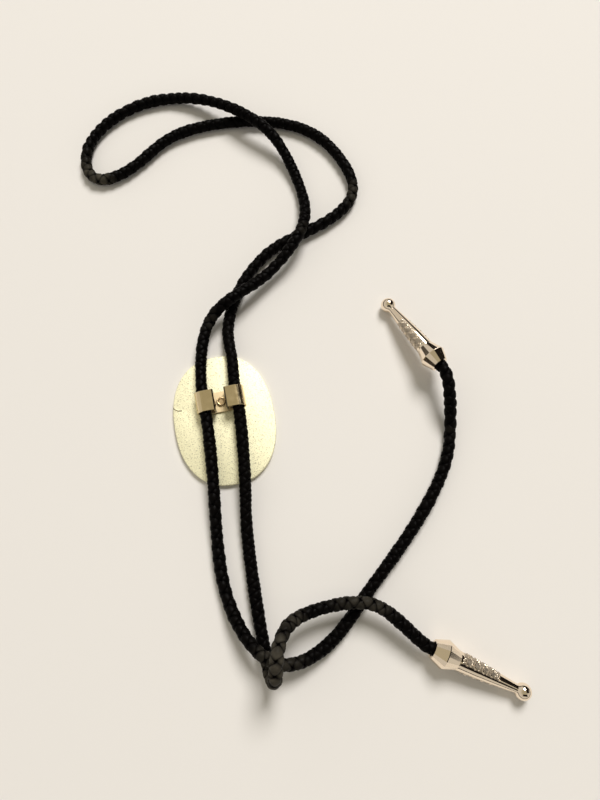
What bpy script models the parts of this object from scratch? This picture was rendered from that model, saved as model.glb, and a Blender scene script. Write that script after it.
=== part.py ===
"""A bolo tie lying loose on a flat surface, with the back of its slide up.

One braided leather cord runs through the two curls of the slide's clip, makes the
neck loop and ends in two metal tips. Metres, +Z up. The origin is on the surface,
under the centre of the slide plate, and +Y runs along the plate's long axis.
"""

import math

import bmesh
import bpy
import numpy as np
from mathutils import Matrix, Vector

# Clearance between pieces that seat on each other
SEAT_GAP = 0.0003
# Clearance between the surface that all lies on and the lowest point of a tip
FLOOR_GAP = 0.00005
# Points closer than this are one point
SAME_POINT = 1e-7

# Cord
CORD_DIAMETER = 0.0048
CORD_RADIUS = CORD_DIAMETER / 2
CORD_LONGEST_STEP = 3 * CORD_DIAMETER
CORD_SAG = 0.0006
CORD_LINE_STEP = 0.0005
CORD_LINE_SAMPLES = 80
CORD_BEVEL_RESOLUTION = 4
STRAIGHT_OUT = 0.0030

# Slide plate, a rounded oval cast in one piece with a bevelled front rim
PLATE_WIDTH = 0.0408
PLATE_LENGTH = 0.0540
PLATE_THICKNESS = 0.0018
PLATE_SQUARENESS = 2.31
PLATE_SIDES = 72
PLATE_FRONT_BEVEL = 0.0006
PLATE_FRONT_BEVEL_STEPS = 3
PLATE_BACK_BEVEL = 0.0002
PLATE_BACK_BEVEL_STEPS = 1
NICK_RADIUS = 0.0004
NICK_Y = 0.0084

# Clip, one bent sheet with a curl round the cord at each end
SHEET = 0.0006
CLIP_WIDTH = 0.0200
CLIP_DEPTH = 0.0086
CLIP_Y = 0.0072
CLIP_MIDDLE_GAP = 0.0043
CURL_STEPS = 14
CURL_INNER_BEND = 0.0007
CURL_INNER_STEPS = 5
CURL_SLIT = 0.0014
SHARPEST_MITRE = 0.5

# Rivet that holds the clip on the plate
RIVET_HEAD_DIAMETER = 0.0037
RIVET_HEAD_HEIGHT = 0.0007
RIVET_SHANK_DIAMETER = 0.0018
RIVET_DIMPLE_DIAMETER = 0.0020
RIVET_DIMPLE_DEPTH = 0.0004
RIVET_CROWN_STEPS = 6
RIVET_DEPTH_IN_PLATE = 0.0009
RIVET_SIDES = 24

# Tips: a faceted collar, a tapering body with a raised vine on two faces, and a ball
SOCKET_DEPTH = 0.0080
MOUTH_WALL = 0.0008
COLLAR_DIAMETER = 0.0106
COLLAR_AT = 0.0045
COLLAR_LAND = 0.0003
COLLAR_END = 0.0096
COLLAR_FACETS = 16
BODY_START_DIAMETER = 0.0070
BODY_MIDDLE_DIAMETER = 0.0061
BODY_MIDDLE_AT = 0.0170
NECK_DIAMETER = 0.0032
BALL_DIAMETER = 0.0061
BALL_AT = 0.0352
BALL_STEPS = 9
TIP_SIDES = 3 * COLLAR_FACETS

# Vine in relief on the body
VINE_START = 0.0104
VINE_END = 0.0252
VINE_RINGS = 20
VINE_HEIGHT = 0.00025
VINE_HALF_ANGLE = math.radians(58)
LEAF_PITCH = 0.0023
LEAF_LENGTH = 0.0013
LEAF_WIDTH = 0.0007
LEAF_OFFSET = 0.0010
LEAF_TURN = math.radians(35)
LEAF_LEAD = 0.7
LEAF_STEEPNESS = 1.6

# Where the tips lie: the mouth's place, the way the tip points, and the turn of its vine
UPPER_TIP_MOUTH = (0.0893, 0.0028)
UPPER_TIP_MOUTH_HEIGHT = 0.0100
UPPER_TIP_HEADING = math.radians(111.2)
UPPER_TIP_ROLL = math.radians(-45)
LOWER_TIP_MOUTH = (0.0600, -0.1002)
LOWER_TIP_HEADING = math.radians(-36.2)
LOWER_TIP_ROLL = math.radians(-45)

# The cord's route from the upper tip to the left curl of the clip
UPPER_TAIL = [
    (0.0904, -0.0067, 0.0104),
    (0.0888, -0.0210, 0.0034),
    (0.0814, -0.0379, 0.0025),
    (0.0595, -0.0616, 0.0025),
    (0.0399, -0.0784, 0.0025),
    (0.0257, -0.0902, 0.0025),
    (0.0105, -0.0952, 0.0060),
    (-0.0004, -0.0901, 0.0088),
    (-0.0104, -0.0674, 0.0025),
    (-0.0085, -0.0280, 0.0048),
]
# From the left curl round the neck loop and back to the right curl
NECK_LOOP = [
    (-0.0002, 0.0400, 0.0048),
    (0.0136, 0.0498, 0.0082),
    (0.0296, 0.0589, 0.0056),
    (0.0464, 0.0741, 0.0084),
    (0.0519, 0.0956, 0.0026),
    (0.0465, 0.1214, 0.0056),
    (0.0357, 0.1365, 0.0086),
    (0.0012, 0.1596, 0.0025),
    (-0.0386, 0.1430, 0.0025),
    (-0.0387, 0.1229, 0.0025),
    (-0.0201, 0.1262, 0.0025),
    (0.0016, 0.1391, 0.0025),
    (0.0547, 0.1332, 0.0025),
    (0.0731, 0.1103, 0.0025),
    (0.0739, 0.0912, 0.0025),
    (0.0566, 0.0791, 0.0025),
    (0.0362, 0.0725, 0.0025),
    (0.0180, 0.0579, 0.0025),
    (0.0080, 0.0377, 0.0025),
    (0.0076, 0.0246, 0.0048),
]
# From the right curl under the other leg, back over it, and on to the lower tip
LOWER_TAIL = [
    (0.0039, -0.0281, 0.0050),
    (0.0011, -0.0476, 0.0025),
    (0.0001, -0.0898, 0.0025),
    (0.0010, -0.0982, 0.0072),
    (0.0030, -0.0971, 0.0164),
    (0.0052, -0.0897, 0.0206),
    (0.0088, -0.0830, 0.0156),
    (0.0164, -0.0793, 0.0102),
    (0.0368, -0.0792, 0.0082),
    (0.0477, -0.0857, 0.0076),
]

# Heights and places that follow from the sizes above
CLIP_BASE_UNDER = PLATE_THICKNESS + SEAT_GAP
CLIP_BASE_TOP = CLIP_BASE_UNDER + SHEET
CURL_HOLLOW = CORD_DIAMETER + 2 * SEAT_GAP
CURL_RADIUS = (CURL_HOLLOW + SHEET) / 2
CORD_IN_CURL_X = CLIP_WIDTH / 2 - SHEET - SEAT_GAP - CORD_RADIUS
CORD_IN_CURL_Z = CLIP_BASE_TOP + SEAT_GAP + CORD_RADIUS
SOCKET_RADIUS = CORD_RADIUS + SEAT_GAP


def clear_scene():
    for obj in list(bpy.data.objects):
        bpy.data.objects.remove(obj, do_unlink=True)


def metal_or_leather(name, colour, roughness, metallic):
    material = bpy.data.materials.new(name)
    material.use_nodes = True
    shader = material.node_tree.nodes["Principled BSDF"]
    shader.inputs["Base Color"].default_value = (*colour, 1.0)
    shader.inputs["Roughness"].default_value = roughness
    shader.inputs["Metallic"].default_value = metallic
    return material


def mesh_object(name, bm, material):
    """The bmesh as a named object, its faces out and shaded smooth but for sharp edges."""
    bmesh.ops.remove_doubles(bm, verts=bm.verts, dist=SAME_POINT)
    bmesh.ops.recalc_face_normals(bm, faces=bm.faces)
    mesh = bpy.data.meshes.new(name)
    bm.to_mesh(mesh)
    bm.free()
    mesh.shade_smooth()
    mesh.set_sharp_from_angle(angle=math.radians(30))
    mesh.materials.append(material)
    obj = bpy.data.objects.new(name, mesh)
    bpy.context.scene.collection.objects.link(obj)
    return obj


def cut(obj, cutter):
    """Takes the cutter out of the object and leaves the cutter as a hidden guide."""
    cutter.hide_render = True
    cutter.display_type = "WIRE"
    boolean = obj.modifiers.new(f"cut by {cutter.name}", "BOOLEAN")
    boolean.operation = "DIFFERENCE"
    boolean.object = cutter


def turned(bm, profile, sides):
    """Spins a profile of (distance from the Z axis, height) points into a closed body."""
    verts = [bm.verts.new((radius, 0.0, height)) for radius, height in profile]
    edges = [bm.edges.new(pair) for pair in zip(verts, verts[1:])]
    bmesh.ops.spin(
        bm,
        geom=verts + edges,
        cent=(0.0, 0.0, 0.0),
        axis=(0.0, 0.0, 1.0),
        angle=math.tau,
        steps=sides,
        use_merge=True,
    )
    bmesh.ops.remove_doubles(bm, verts=bm.verts, dist=SAME_POINT)


def cylinder_cutter(name, radius, low, high, x, y, material):
    bm = bmesh.new()
    turned(bm, [(0.0, low), (radius, low), (radius, high), (0.0, high)], RIVET_SIDES)
    bmesh.ops.translate(bm, verts=bm.verts, vec=(x, y, 0.0))
    return mesh_object(name, bm, material)


def slide_plate(material):
    """The oval plate: its plain front faces the surface, and its back is up."""
    bm = bmesh.new()
    ring = bmesh.ops.create_circle(bm, cap_ends=True, segments=PLATE_SIDES, radius=1.0)
    power = 2 / PLATE_SQUARENESS
    for vert in ring["verts"]:
        x, y, _ = vert.co
        vert.co.x = math.copysign(abs(x) ** power, x) * PLATE_WIDTH / 2
        vert.co.y = math.copysign(abs(y) ** power, y) * PLATE_LENGTH / 2
    front_rim = list(bm.edges)
    raised = bmesh.ops.extrude_face_region(bm, geom=list(bm.faces))["geom"]
    back = [item for item in raised if isinstance(item, bmesh.types.BMVert)]
    back_rim = [item for item in raised if isinstance(item, bmesh.types.BMEdge)]
    bmesh.ops.translate(bm, verts=back, vec=(0.0, 0.0, PLATE_THICKNESS))
    rims = (
        (front_rim, PLATE_FRONT_BEVEL, PLATE_FRONT_BEVEL_STEPS),
        (back_rim, PLATE_BACK_BEVEL, PLATE_BACK_BEVEL_STEPS),
    )
    for rim, offset, segments in rims:
        bmesh.ops.bevel(
            bm,
            geom=[edge for edge in rim if edge.is_valid],
            offset=offset,
            segments=segments,
            profile=0.5,
            affect="EDGES",
        )
    plate = mesh_object("slide_plate", bm, material)
    rivet_seat = cylinder_cutter(
        "rivet_seat",
        RIVET_SHANK_DIAMETER / 2 + SEAT_GAP,
        PLATE_THICKNESS - RIVET_DEPTH_IN_PLATE - SEAT_GAP,
        PLATE_THICKNESS * 2,
        0.0,
        CLIP_Y,
        material,
    )
    nick = cylinder_cutter(
        "rim_nick",
        NICK_RADIUS,
        -PLATE_THICKNESS,
        PLATE_THICKNESS * 2,
        -PLATE_WIDTH / 2,
        NICK_Y,
        material,
    )
    cut(plate, rivet_seat)
    cut(plate, nick)
    return plate


def arc(centre_x, centre_z, radius, start, end, steps):
    """Points of an arc in the XZ plane, angles in degrees."""
    angles = np.radians(np.linspace(start, end, steps + 1))
    return [
        (centre_x + radius * math.cos(angle), centre_z + radius * math.sin(angle))
        for angle in angles
    ]


def half_sheet_line():
    """The middle of the clip's sheet, from its centre round the right curl, as (x, z)."""
    base = CLIP_BASE_UNDER + SHEET / 2
    top = base + 2 * CURL_RADIUS
    bend_x = CLIP_WIDTH / 2 - SHEET / 2 - CURL_RADIUS
    inner_x = CLIP_MIDDLE_GAP / 2 + SHEET / 2
    line = [(0.0, base)]
    line += arc(bend_x, base + CURL_RADIUS, CURL_RADIUS, -90, 90, CURL_STEPS)
    bend_centre = (inner_x + CURL_INNER_BEND, top - CURL_INNER_BEND)
    line += arc(*bend_centre, CURL_INNER_BEND, 90, 180, CURL_INNER_STEPS)
    line.append((inner_x, CLIP_BASE_TOP + CURL_SLIT))
    return line


def sheet_outline(line, thickness):
    """Both faces of a sheet whose middle follows the line, as one closed outline."""
    points = np.array(line)
    steps = np.diff(points, axis=0)
    steps /= np.linalg.norm(steps, axis=1)[:, None]
    before = np.vstack([steps[:1], steps])
    after = np.vstack([steps, steps[-1:]])
    along = before + after
    along /= np.linalg.norm(along, axis=1)[:, None]
    across = np.stack([-along[:, 1], along[:, 0]], axis=1)
    mitre = 1 / np.maximum((along * before).sum(axis=1), SHARPEST_MITRE)
    offset = across * (mitre * thickness / 2)[:, None]
    return np.vstack([points + offset, (points - offset)[::-1]])


def slide_clip(material):
    """The bent sheet that the cord runs through, with a hole for the rivet."""
    right = half_sheet_line()
    left = [(-x, z) for x, z in reversed(right[1:])]
    outline = sheet_outline(left + right, SHEET)
    bm = bmesh.new()
    front = CLIP_Y - CLIP_DEPTH / 2
    face = bm.faces.new([bm.verts.new((x, front, z)) for x, z in outline])
    swept = bmesh.ops.extrude_face_region(bm, geom=[face])["geom"]
    far = [item for item in swept if isinstance(item, bmesh.types.BMVert)]
    bmesh.ops.translate(bm, verts=far, vec=(0.0, CLIP_DEPTH, 0.0))
    clip = mesh_object("slide_clip", bm, material)
    rivet_hole = cylinder_cutter(
        "rivet_hole",
        RIVET_SHANK_DIAMETER / 2 + SEAT_GAP,
        CLIP_BASE_UNDER - SHEET,
        CLIP_BASE_TOP + SHEET,
        0.0,
        CLIP_Y,
        material,
    )
    cut(clip, rivet_hole)
    return clip


def clip_rivet(material):
    """A tubular rivet: its shank is seated in the plate and its head holds the clip."""
    foot = PLATE_THICKNESS - RIVET_DEPTH_IN_PLATE
    under = CLIP_BASE_TOP + SEAT_GAP
    shank = RIVET_SHANK_DIAMETER / 2
    head = RIVET_HEAD_DIAMETER / 2
    dimple = RIVET_DIMPLE_DIAMETER / 2
    floor = under + RIVET_HEAD_HEIGHT - RIVET_DIMPLE_DEPTH
    profile = [(0.0, foot), (shank, foot), (shank, under), (head, under)]
    for turn in np.linspace(0, math.pi, RIVET_CROWN_STEPS + 1):
        radius = (head + dimple) / 2 + (head - dimple) / 2 * math.cos(turn)
        profile.append((radius, floor + RIVET_DIMPLE_DEPTH * math.sin(turn)))
    profile.append((0.0, floor))
    bm = bmesh.new()
    turned(bm, profile, RIVET_SIDES)
    rivet = mesh_object("clip_rivet", bm, material)
    rivet.location = (0.0, CLIP_Y, 0.0)
    return rivet


def tip_profile():
    """The tip's outline as (radius, distance from the mouth), from the socket's floor out."""
    mouth = SOCKET_RADIUS + MOUTH_WALL
    collar = COLLAR_DIAMETER / 2
    ball = BALL_DIAMETER / 2
    neck = NECK_DIAMETER / 2
    profile = [
        (0.0, SOCKET_DEPTH),
        (SOCKET_RADIUS, SOCKET_DEPTH),
        (SOCKET_RADIUS, 0.0),
        (mouth, 0.0),
        (collar, COLLAR_AT),
        (collar, COLLAR_AT + COLLAR_LAND),
        (BODY_START_DIAMETER / 2, COLLAR_END),
    ]
    at = (COLLAR_END, BODY_MIDDLE_AT, BALL_AT)
    radii = (BODY_START_DIAMETER / 2, BODY_MIDDLE_DIAMETER / 2, neck)
    stations = list(np.linspace(VINE_START, VINE_END, VINE_RINGS))
    ball_start = BALL_AT - math.sqrt(ball**2 - neck**2)
    stations += [(VINE_END + ball_start) / 2, ball_start]
    profile += [(float(np.interp(station, at, radii)), station) for station in stations]
    start = math.asin(min(neck / ball, 1.0))
    for angle in np.linspace(start, math.pi, BALL_STEPS + 1)[1:]:
        height = BALL_AT - ball * math.cos(angle)
        profile.append((abs(ball * math.sin(angle)), height))
    profile[-1] = (0.0, BALL_AT + ball)
    return profile


def facet_share(angle):
    """How far a flat facet lies inside its round, as a share of the radius."""
    half = math.pi / COLLAR_FACETS
    return math.cos(half) / math.cos(angle % (2 * half) - half)


def vine_height(angle, station, radius):
    """Height of the raised vine: leaves in turn on both sides of each face's middle."""
    face_angle = (angle + math.pi / 2) % math.pi - math.pi / 2
    if not VINE_START < station < VINE_END or abs(face_angle) > VINE_HALF_ANGLE:
        return 0.0
    around = face_angle * radius
    height = 0.0
    leaves = int((VINE_END - VINE_START) / LEAF_PITCH)
    for leaf in range(leaves):
        side = 1 if leaf % 2 else -1
        along = station - VINE_START - (leaf + LEAF_LEAD) * LEAF_PITCH
        across = around - side * LEAF_OFFSET * radius / (BODY_START_DIAMETER / 2)
        turn = side * LEAF_TURN
        length = along * math.cos(turn) + across * math.sin(turn)
        width = across * math.cos(turn) - along * math.sin(turn)
        inside = 1 - (length / LEAF_LENGTH) ** 2 - (width / LEAF_WIDTH) ** 2
        height = max(height, VINE_HEIGHT * min(1.0, LEAF_STEEPNESS * max(inside, 0.0)))
    return height


def resting_drop():
    """The slope of a tip that lies on its collar and on its ball."""
    collar = COLLAR_DIAMETER / 2
    between = BALL_AT - COLLAR_AT
    ball = BALL_DIAMETER / 2
    return math.acos(ball / math.hypot(collar, between)) - math.atan2(between, collar)


def tip_frame(mouth, height, heading, roll):
    """The tip's place: its mouth is the origin, and its ball lies on the surface along +Z."""
    ball_height = BALL_DIAMETER / 2 + FLOOR_GAP
    if height is None:
        height = ball_height + BALL_AT * math.sin(resting_drop())
    drop = math.asin((height - ball_height) / BALL_AT)
    tilt = Matrix.Rotation(math.pi / 2 + drop, 4, "Y")
    turn = Matrix.Rotation(heading, 4, "Z")
    spin = Matrix.Rotation(roll, 4, "Z")
    return Matrix.Translation((*mouth, height)) @ turn @ tilt @ spin


def cord_tip(name, frame, material):
    """One metal tip, a single solid with a socket for the cord's end."""
    bm = bmesh.new()
    turned(bm, tip_profile(), TIP_SIDES)
    for vert in bm.verts:
        radius = math.hypot(vert.co.x, vert.co.y)
        angle = math.atan2(vert.co.y, vert.co.x)
        if vert.co.z <= COLLAR_END + SAME_POINT and radius > SOCKET_RADIUS + SAME_POINT:
            share = facet_share(angle)
        elif radius > SAME_POINT:
            share = 1 + vine_height(angle, vert.co.z, radius) / radius
        else:
            share = 1.0
        vert.co.x *= share
        vert.co.y *= share
    tip = mesh_object(name, bm, material)
    tip.matrix_world = frame
    return tip


def smooth_line(points, step):
    """A smooth curve through the points (a natural cubic spline), in even short steps."""
    points = np.array(points)
    count = len(points)
    knots = np.sqrt(np.linalg.norm(np.diff(points, axis=0), axis=1))
    system = np.eye(count)
    wanted = np.zeros((count, 3))
    slopes = np.diff(points, axis=0) / knots[:, None]
    for i in range(1, count - 1):
        system[i, i - 1 : i + 2] = knots[i - 1], 2 * (knots[i - 1] + knots[i]), knots[i]
        wanted[i] = 6 * (slopes[i] - slopes[i - 1])
    bends = np.linalg.solve(system, wanted)
    pieces = []
    for i, knot in enumerate(knots):
        share = np.linspace(0, 1, CORD_LINE_SAMPLES)[:, None]
        ahead, behind = share * knot, (1 - share) * knot
        straight = points[i] * (1 - share) + points[i + 1] * share
        bow_start = bends[i] * (behind**3 / knot - knot * behind) / 6
        bow_end = bends[i + 1] * (ahead**3 / knot - knot * ahead) / 6
        pieces.append(straight + bow_start + bow_end)
    line = np.vstack(pieces)
    along = np.concatenate([[0], np.cumsum(np.linalg.norm(np.diff(line, axis=0), axis=1))])
    at = np.linspace(0, along[-1], round(along[-1] / step) + 1)
    return np.stack([np.interp(at, along, line[:, k]) for k in range(3)], axis=1)


def cord_line(upper_frame, lower_frame):
    """The cord's own line, from its end in the upper tip to its end in the lower tip."""

    def in_curl(side, end):
        y = CLIP_Y + end * (CLIP_DEPTH / 2 + CORD_RADIUS / 2)
        return (side * CORD_IN_CURL_X, y, CORD_IN_CURL_Z)

    def in_socket(frame):
        end = SOCKET_DEPTH - SEAT_GAP
        places = (end, end / 2, 0.0, -STRAIGHT_OUT)
        return [tuple(frame @ Vector((0.0, 0.0, place))) for place in places]

    route = in_socket(upper_frame) + UPPER_TAIL
    route += [in_curl(-1, -1), in_curl(-1, 1)] + NECK_LOOP
    route += [in_curl(1, 1), in_curl(1, -1)] + LOWER_TAIL + in_socket(lower_frame)[::-1]
    line = smooth_line(route, CORD_LINE_STEP)
    line[:, 2] = np.maximum(line[:, 2], CORD_RADIUS)
    return line


def stations(line):
    """The points that a plain tube needs: the straight stretch in each socket is one
    step, and the rest has longer steps where it is straighter."""
    straight = round((SOCKET_DEPTH - SEAT_GAP + STRAIGHT_OUT) / CORD_LINE_STEP)
    last = straight
    final = len(line) - 1 - straight
    chosen = [0, last]
    for i in range(last + 1, final):
        chord = line[i] - line[last]
        length = np.linalg.norm(chord)
        away = line[last : i + 1] - line[last]
        off_chord = away - np.outer(away @ chord, chord) / length**2
        sag = np.linalg.norm(off_chord, axis=1).max()
        if sag > CORD_SAG or length > CORD_LONGEST_STEP:
            last = i
            chosen.append(i)
    return line[chosen + [final, len(line) - 1]]


def cord(line, material):
    """The cord as one plain round tube."""
    points = stations(line)
    curve = bpy.data.curves.new("cord", "CURVE")
    curve.dimensions = "3D"
    curve.bevel_depth = CORD_RADIUS
    curve.bevel_resolution = CORD_BEVEL_RESOLUTION
    curve.use_fill_caps = True
    spline = curve.splines.new("POLY")
    spline.points.add(len(points) - 1)
    for point, place in zip(spline.points, points):
        point.co = (*place, 1.0)
    curve.materials.append(material)
    obj = bpy.data.objects.new("cord", curve)
    bpy.context.scene.collection.objects.link(obj)
    return obj


def main():
    clear_scene()
    plate_gold = metal_or_leather("grained_gold", (0.80, 0.66, 0.38), 0.45, 1.0)
    clip_gold = metal_or_leather("bright_gold", (0.78, 0.60, 0.36), 0.20, 1.0)
    tip_gold = metal_or_leather("rose_gold", (0.86, 0.66, 0.50), 0.18, 1.0)
    leather = metal_or_leather("black_leather", (0.012, 0.011, 0.011), 0.45, 0.0)
    upper = tip_frame(
        UPPER_TIP_MOUTH, UPPER_TIP_MOUTH_HEIGHT, UPPER_TIP_HEADING, UPPER_TIP_ROLL
    )
    lower = tip_frame(LOWER_TIP_MOUTH, None, LOWER_TIP_HEADING, LOWER_TIP_ROLL)
    slide_plate(plate_gold)
    slide_clip(clip_gold)
    clip_rivet(clip_gold)
    cord_tip("tip_upper", upper, tip_gold)
    cord_tip("tip_lower", lower, tip_gold)
    cord(cord_line(upper, lower), leather)


main()
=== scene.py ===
"""The looks of a bolo tie that lies on a pale surface, back of its slide up.

It dresses the solids of the frame: a braided leather cord, two cast tips, the slide's
plate, clip and eyelet, and a plain stage. Metres, +Z up.
"""

import math

import bmesh
import bpy
import numpy as np
from bpy.props import FloatProperty, FloatVectorProperty, PointerProperty
from bpy.types import Operator, Panel, PropertyGroup
from mathutils import Matrix, Vector


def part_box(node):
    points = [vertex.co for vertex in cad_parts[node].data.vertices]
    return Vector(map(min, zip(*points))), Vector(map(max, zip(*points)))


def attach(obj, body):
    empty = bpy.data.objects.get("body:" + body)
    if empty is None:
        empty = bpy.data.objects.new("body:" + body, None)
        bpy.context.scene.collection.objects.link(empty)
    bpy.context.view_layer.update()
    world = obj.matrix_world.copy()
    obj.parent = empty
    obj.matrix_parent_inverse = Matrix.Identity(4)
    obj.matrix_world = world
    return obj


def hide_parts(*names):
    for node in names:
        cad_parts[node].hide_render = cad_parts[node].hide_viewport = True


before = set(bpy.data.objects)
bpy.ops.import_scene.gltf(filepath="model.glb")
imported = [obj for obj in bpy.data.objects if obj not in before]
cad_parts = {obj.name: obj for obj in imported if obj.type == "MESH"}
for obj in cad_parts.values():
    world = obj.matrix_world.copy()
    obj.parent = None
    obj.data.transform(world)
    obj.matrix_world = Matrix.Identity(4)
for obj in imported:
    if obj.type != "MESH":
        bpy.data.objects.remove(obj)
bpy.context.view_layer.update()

bl_info = {
    "name": "Bolo Tie Looks",
    "version": (1, 0, 0),
    "blender": (4, 5, 0),
    "location": "3D View > Sidebar > Bolo Tie",
    "description": "Braids the cord, casts the tips, dresses the slide and lays the stage",
    "category": "Object",
}

SAME_POINT = 1e-6
SHARP_ANGLE = math.radians(30)

# Clearance between pieces that seat on each other, as in the solids
SEAT_GAP = 0.0003
FLOOR_GAP = 0.00005

# The cord's route from the upper tip to the left curl of the clip
UPPER_TAIL = [
    (0.0904, -0.0067, 0.0104),
    (0.0888, -0.0210, 0.0034),
    (0.0814, -0.0379, 0.0025),
    (0.0595, -0.0616, 0.0025),
    (0.0399, -0.0784, 0.0025),
    (0.0257, -0.0902, 0.0025),
    (0.0105, -0.0952, 0.0060),
    (-0.0004, -0.0901, 0.0088),
    (-0.0104, -0.0674, 0.0025),
    (-0.0085, -0.0280, 0.0048),
]
# From the left curl round the neck loop and back to the right curl
NECK_LOOP = [
    (-0.0002, 0.0400, 0.0048),
    (0.0136, 0.0498, 0.0082),
    (0.0296, 0.0589, 0.0056),
    (0.0464, 0.0741, 0.0084),
    (0.0519, 0.0956, 0.0026),
    (0.0465, 0.1214, 0.0056),
    (0.0357, 0.1365, 0.0086),
    (0.0012, 0.1596, 0.0025),
    (-0.0386, 0.1430, 0.0025),
    (-0.0387, 0.1229, 0.0025),
    (-0.0201, 0.1262, 0.0025),
    (0.0016, 0.1391, 0.0025),
    (0.0547, 0.1332, 0.0025),
    (0.0731, 0.1103, 0.0025),
    (0.0739, 0.0912, 0.0025),
    (0.0566, 0.0791, 0.0025),
    (0.0362, 0.0725, 0.0025),
    (0.0180, 0.0579, 0.0025),
    (0.0080, 0.0377, 0.0025),
    (0.0076, 0.0246, 0.0048),
]
# From the right curl under the other leg, back over it, and on to the lower tip
LOWER_TAIL = [
    (0.0039, -0.0281, 0.0050),
    (0.0011, -0.0476, 0.0025),
    (0.0001, -0.0898, 0.0025),
    (0.0010, -0.0982, 0.0072),
    (0.0030, -0.0971, 0.0164),
    (0.0052, -0.0897, 0.0206),
    (0.0088, -0.0830, 0.0156),
    (0.0164, -0.0793, 0.0102),
    (0.0368, -0.0792, 0.0082),
    (0.0477, -0.0857, 0.0076),
]
LINE_STEP = 0.0005
LINE_SAMPLES = 80
STRAIGHT_OUT = 0.0030

# Braid
LACE_SIDES = 10
LACE_STEPS = 16
LACE_CROWDING = 0.45
LACE_EDGE_SHARE = 0.14
LACE_SQUARENESS = 0.62
LACE_FLATNESS = 0.62
LACE_LIFTS = (1.0, 0.78, 0.95, 0.84)
CORE_SIDES = 6
CORE_STEPS = 8
CORE_SHARE = 0.36
# Slow changes along the cord, as (wavelength, change): of its width as a share, and of the
# places of its crossings
WIDTH_WAVES = ((0.0213, 0.020), (0.0574, 0.022), (0.0109, 0.012))
SHIFT_WAVES = ((0.0371, 0.0006), (0.0167, 0.0003))
# Length at each end in which those changes grow from nothing
WAVES_GROW = 0.020
# Radii between which bent leather turns from black to worn grey with painted sheen
PALE_BEND = 0.0105
DARK_BEND = 0.0240
BEND_SAMPLES = 15
# Length at each end that is neither worn nor painted with sheen
NEW_END = 0.026
# The stretch on the arch that is worn and painted with sheen, as (distance from the lower end, reach, how
# much)
ARCH_WEAR_AND_SHEEN = (0.038, 0.008, 0.7)
# Turn of the braid about the cord's line, as (share of its length, degrees)
BRAID_TURNS = ((0.0, 20), (0.2, 70), (0.4, 0), (0.6, 60), (0.8, 10), (1.0, 45))

# How the tips lie, as (the mouth's place, its height or None where the tip rests on its
# collar, the way it points, its turn about its own line)
TIP_PLACES = {
    "tip_upper": ((0.0893, 0.0028), 0.0100, math.radians(111.2), math.radians(-45)),
    "tip_lower": ((0.0600, -0.1002), None, math.radians(-36.2), math.radians(-45)),
}
TIP_SIDES = 192
COLLAR_FACETS = 16
SOCKET_DEPTH = 0.0080
MOUTH_WALL = 0.0008
COLLAR_AT = 0.0045
COLLAR_LAND = 0.0003
COLLAR_END = 0.0096
BODY_STEP = 0.00014
BALL_AT = 0.0352
BALL_STEPS = 28
TIP_SHARP_ANGLE = math.radians(14)
# The body's diameter, as (distance from the mouth, diameter)
BODY_DIAMETERS = ((0.0096, 0.0070), (0.0170, 0.0062), (0.0254, 0.0047), (0.0320, 0.0034), (0.0352, 0.0032))

# Vine on the tips, laid out on a body of this radius
VINE_RADIUS = 0.0034
VINE_START = 0.0104
VINE_END = 0.0252
VINE_HALF_ANGLE = math.radians(53)
VINE_TURNS = {"tip_upper": math.radians(-6), "tip_lower": 0.0}
VINE_END_FADE = 0.0004
VINE_SIDE_FADE = 0.0003
STEM_WAVE = 0.0032
STEM_SWING = 0.0009
STEM_HALF_WIDTH = 0.0002
STEM_CROWN = 1.3
STEM_HEIGHT = 0.8
LEAF_LEAD = 0.45
VEIN_WIDTH = 0.00009
# Ovals at each bend of the stem, as (place ahead, place aside, turn, half length, half
# width, steepness, height, depth of the vein): a leaf, a curl and a berry
VINE_OVALS = (
    (0.0, 0.0013, 0.6, 0.00105, 0.00058, 1.8, 1.0, 0.45),
    (0.0009, 0.0024, -0.9, 0.00085, 0.00045, 1.8, 0.9, 0.0),
    (-0.0007, 0.0026, 0.0, 0.00032, 0.00032, 1.5, 0.8, 0.0),
)

# Slide
SHEET = 0.0006
SHEET_ROUND_STEPS = 2
CURL_STEPS = 14
CREASE_ANGLE = math.radians(6)
CURL_INNER_BEND = 0.0004
# Reach of the painted shade in the curls' inner folds, in radii of the inner bend
PAINTED_SHADE_BENDS = 1.6
FLAT_MARGIN = 0.00012
CURL_INNER_STEPS = 10
CURL_SLIT = 0.0014
CLIP_MIDDLE_GAP = 0.0043
PLATE_SIDES = 240
PLATE_ROUND_STEPS = 4
PLATE_SQUARENESS = 2.31
NICK_Y = 0.0084
NICK_RADIUS = 0.0004
SCRATCH = (
    (-0.0210, 0.0086),
    (-0.0198, 0.0085),
    (-0.0189, 0.0076),
    (-0.0180, 0.0070),
    (-0.0164, 0.0068),
)
SCRATCH_RADIUS = 0.00022
GROOVE_SIDES = 8
GROOVE_SAMPLES = 60
# Painted shade at the bottom of the plate's scratch
SCRATCH_SHADE_COLOUR = (0.12, 0.08, 0.04)
EYELET_SIDES = 64
EYELET_STEPS = 18
SHANK_RADIUS = 0.0009
SHANK_HOLE = 0.0012
HEAD_RISE = 0.0004
DIMPLE_RADIUS = 0.0010
DIMPLE_DEPTH = 0.0001

# Camera, solved from the photograph
CAMERA_PLACE = (0.0188, -0.0616, 0.2349)
CAMERA_TARGET = (0.0318, 0.0022, 0.0)
PICTURE_UP = (0.1994, 0.9799, 0.0)
PICTURE_RIGHT = (0.9799, -0.1994, 0.0)
FOCAL_PIXELS = 590
PICTURE_HEIGHT = 800
SENSOR_HEIGHT = 24.0
NEAREST_SEEN = 0.01

# Stage
FLOOR_DROP = 0.0001
KEY_COLOUR = (1.0, 0.97, 0.93)
KEY_DISTANCE = 6.0
KEY_TILT = math.radians(42)
TOWARDS_KEY = (0.512, 0.859, 0.0)
ACROSS_KEY = (0.859, -0.512, 0.0)

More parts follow.
